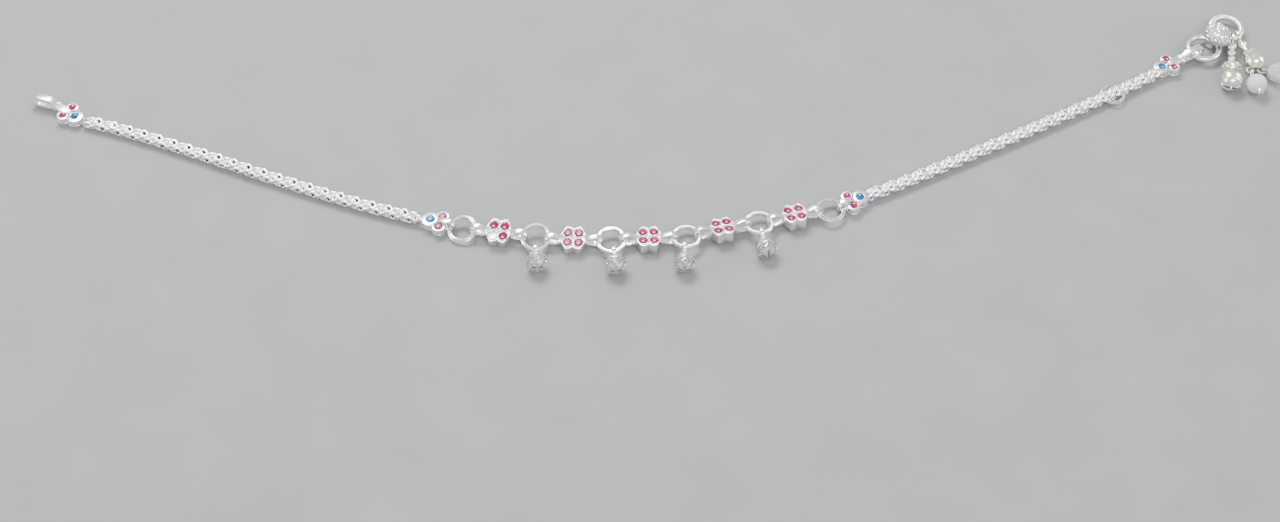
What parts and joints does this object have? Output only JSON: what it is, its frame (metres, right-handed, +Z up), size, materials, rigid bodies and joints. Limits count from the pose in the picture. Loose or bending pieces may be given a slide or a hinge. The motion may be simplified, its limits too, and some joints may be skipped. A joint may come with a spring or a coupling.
{
  "type": "chain anklet",
  "caption": "Silver payal anklet lying open: square woven chains, flower links with pink stones, small bells, hook, closing ring and a beaded tassel.",
  "frame": {"origin": "middle of the anklet's box, on the surface it lies on", "axes": "+X from the hook's end to the tassel's end, +Y away from the small bells, +Z up from the surface"},
  "size_m": [0.2742, 0.0726, 0.0048],
  "materials": {
    "silver": "bright cast and woven silver",
    "pink_stone": "faceted deep pink stone",
    "blue_stone": "faceted blue stone",
    "frosted_bead": "frosted pale glass with a silver pin",
    "clear_bead": "ribbed clear glass"
  },
  "bodies": {
    "root": {"flower_link_1": "silver", "flower_1_stone_1": "pink_stone", "flower_1_stone_2": "pink_stone", "flower_1_stone_4": "pink_stone", "flower_link_2": "silver", "flower_2_stone_1": "pink_stone", "flower_2_stone_2": "pink_stone", "flower_2_stone_3": "pink_stone", "flower_2_stone_4": "pink_stone", "flower_link_3": "silver", "flower_3_stone_1": "pink_stone", "flower_3_stone_2": "pink_stone", "flower_3_stone_3": "pink_stone", "flower_3_stone_4": "pink_stone", "flower_link_4": "silver", "flower_4_stone_1": "pink_stone", "flower_4_stone_2": "pink_stone", "flower_4_stone_3": "pink_stone", "flower_4_stone_4": "pink_stone", "flower_link_5": "silver", "flower_5_stone_1": "pink_stone", "flower_5_stone_2": "pink_stone", "flower_5_stone_3": "pink_stone", "flower_5_stone_4": "pink_stone", "bell_ring_1": "silver", "bell_1": "silver", "bell_ring_2": "silver", "bell_2": "silver", "bell_ring_3": "silver", "bell_3": "silver", "bell_ring_4": "silver", "bell_4": "silver", "jump_ring_left": "silver", "jump_ring_right": "silver", "inner_left_trefoil": "silver", "inner_left_trefoil_stone_1": "blue_stone", "inner_left_trefoil_stone_2": "pink_stone", "inner_left_trefoil_stone_3": "pink_stone", "inner_right_trefoil": "silver", "inner_right_trefoil_stone_1": "blue_stone", "inner_right_trefoil_stone_2": "pink_stone", "inner_right_trefoil_stone_3": "pink_stone", "chain_left": "silver", "chain_right": "silver", "adjusting_ring": "silver", "hook_trefoil": "silver", "hook_trefoil_stone_1": "blue_stone", "hook_trefoil_stone_2": "pink_stone", "hook_trefoil_stone_3": "pink_stone", "end_trefoil": "silver", "end_trefoil_stone_1": "blue_stone", "end_trefoil_stone_2": "pink_stone", "end_trefoil_stone_3": "pink_stone", "closing_ring": "silver", "tassel_ring": "silver", "textured_link": "silver", "crown_bell": "silver", "round_bell": "silver", "frosted_ball": "frosted_bead", "ribbed_bead": "clear_bead"}
  },
  "joints": []
}
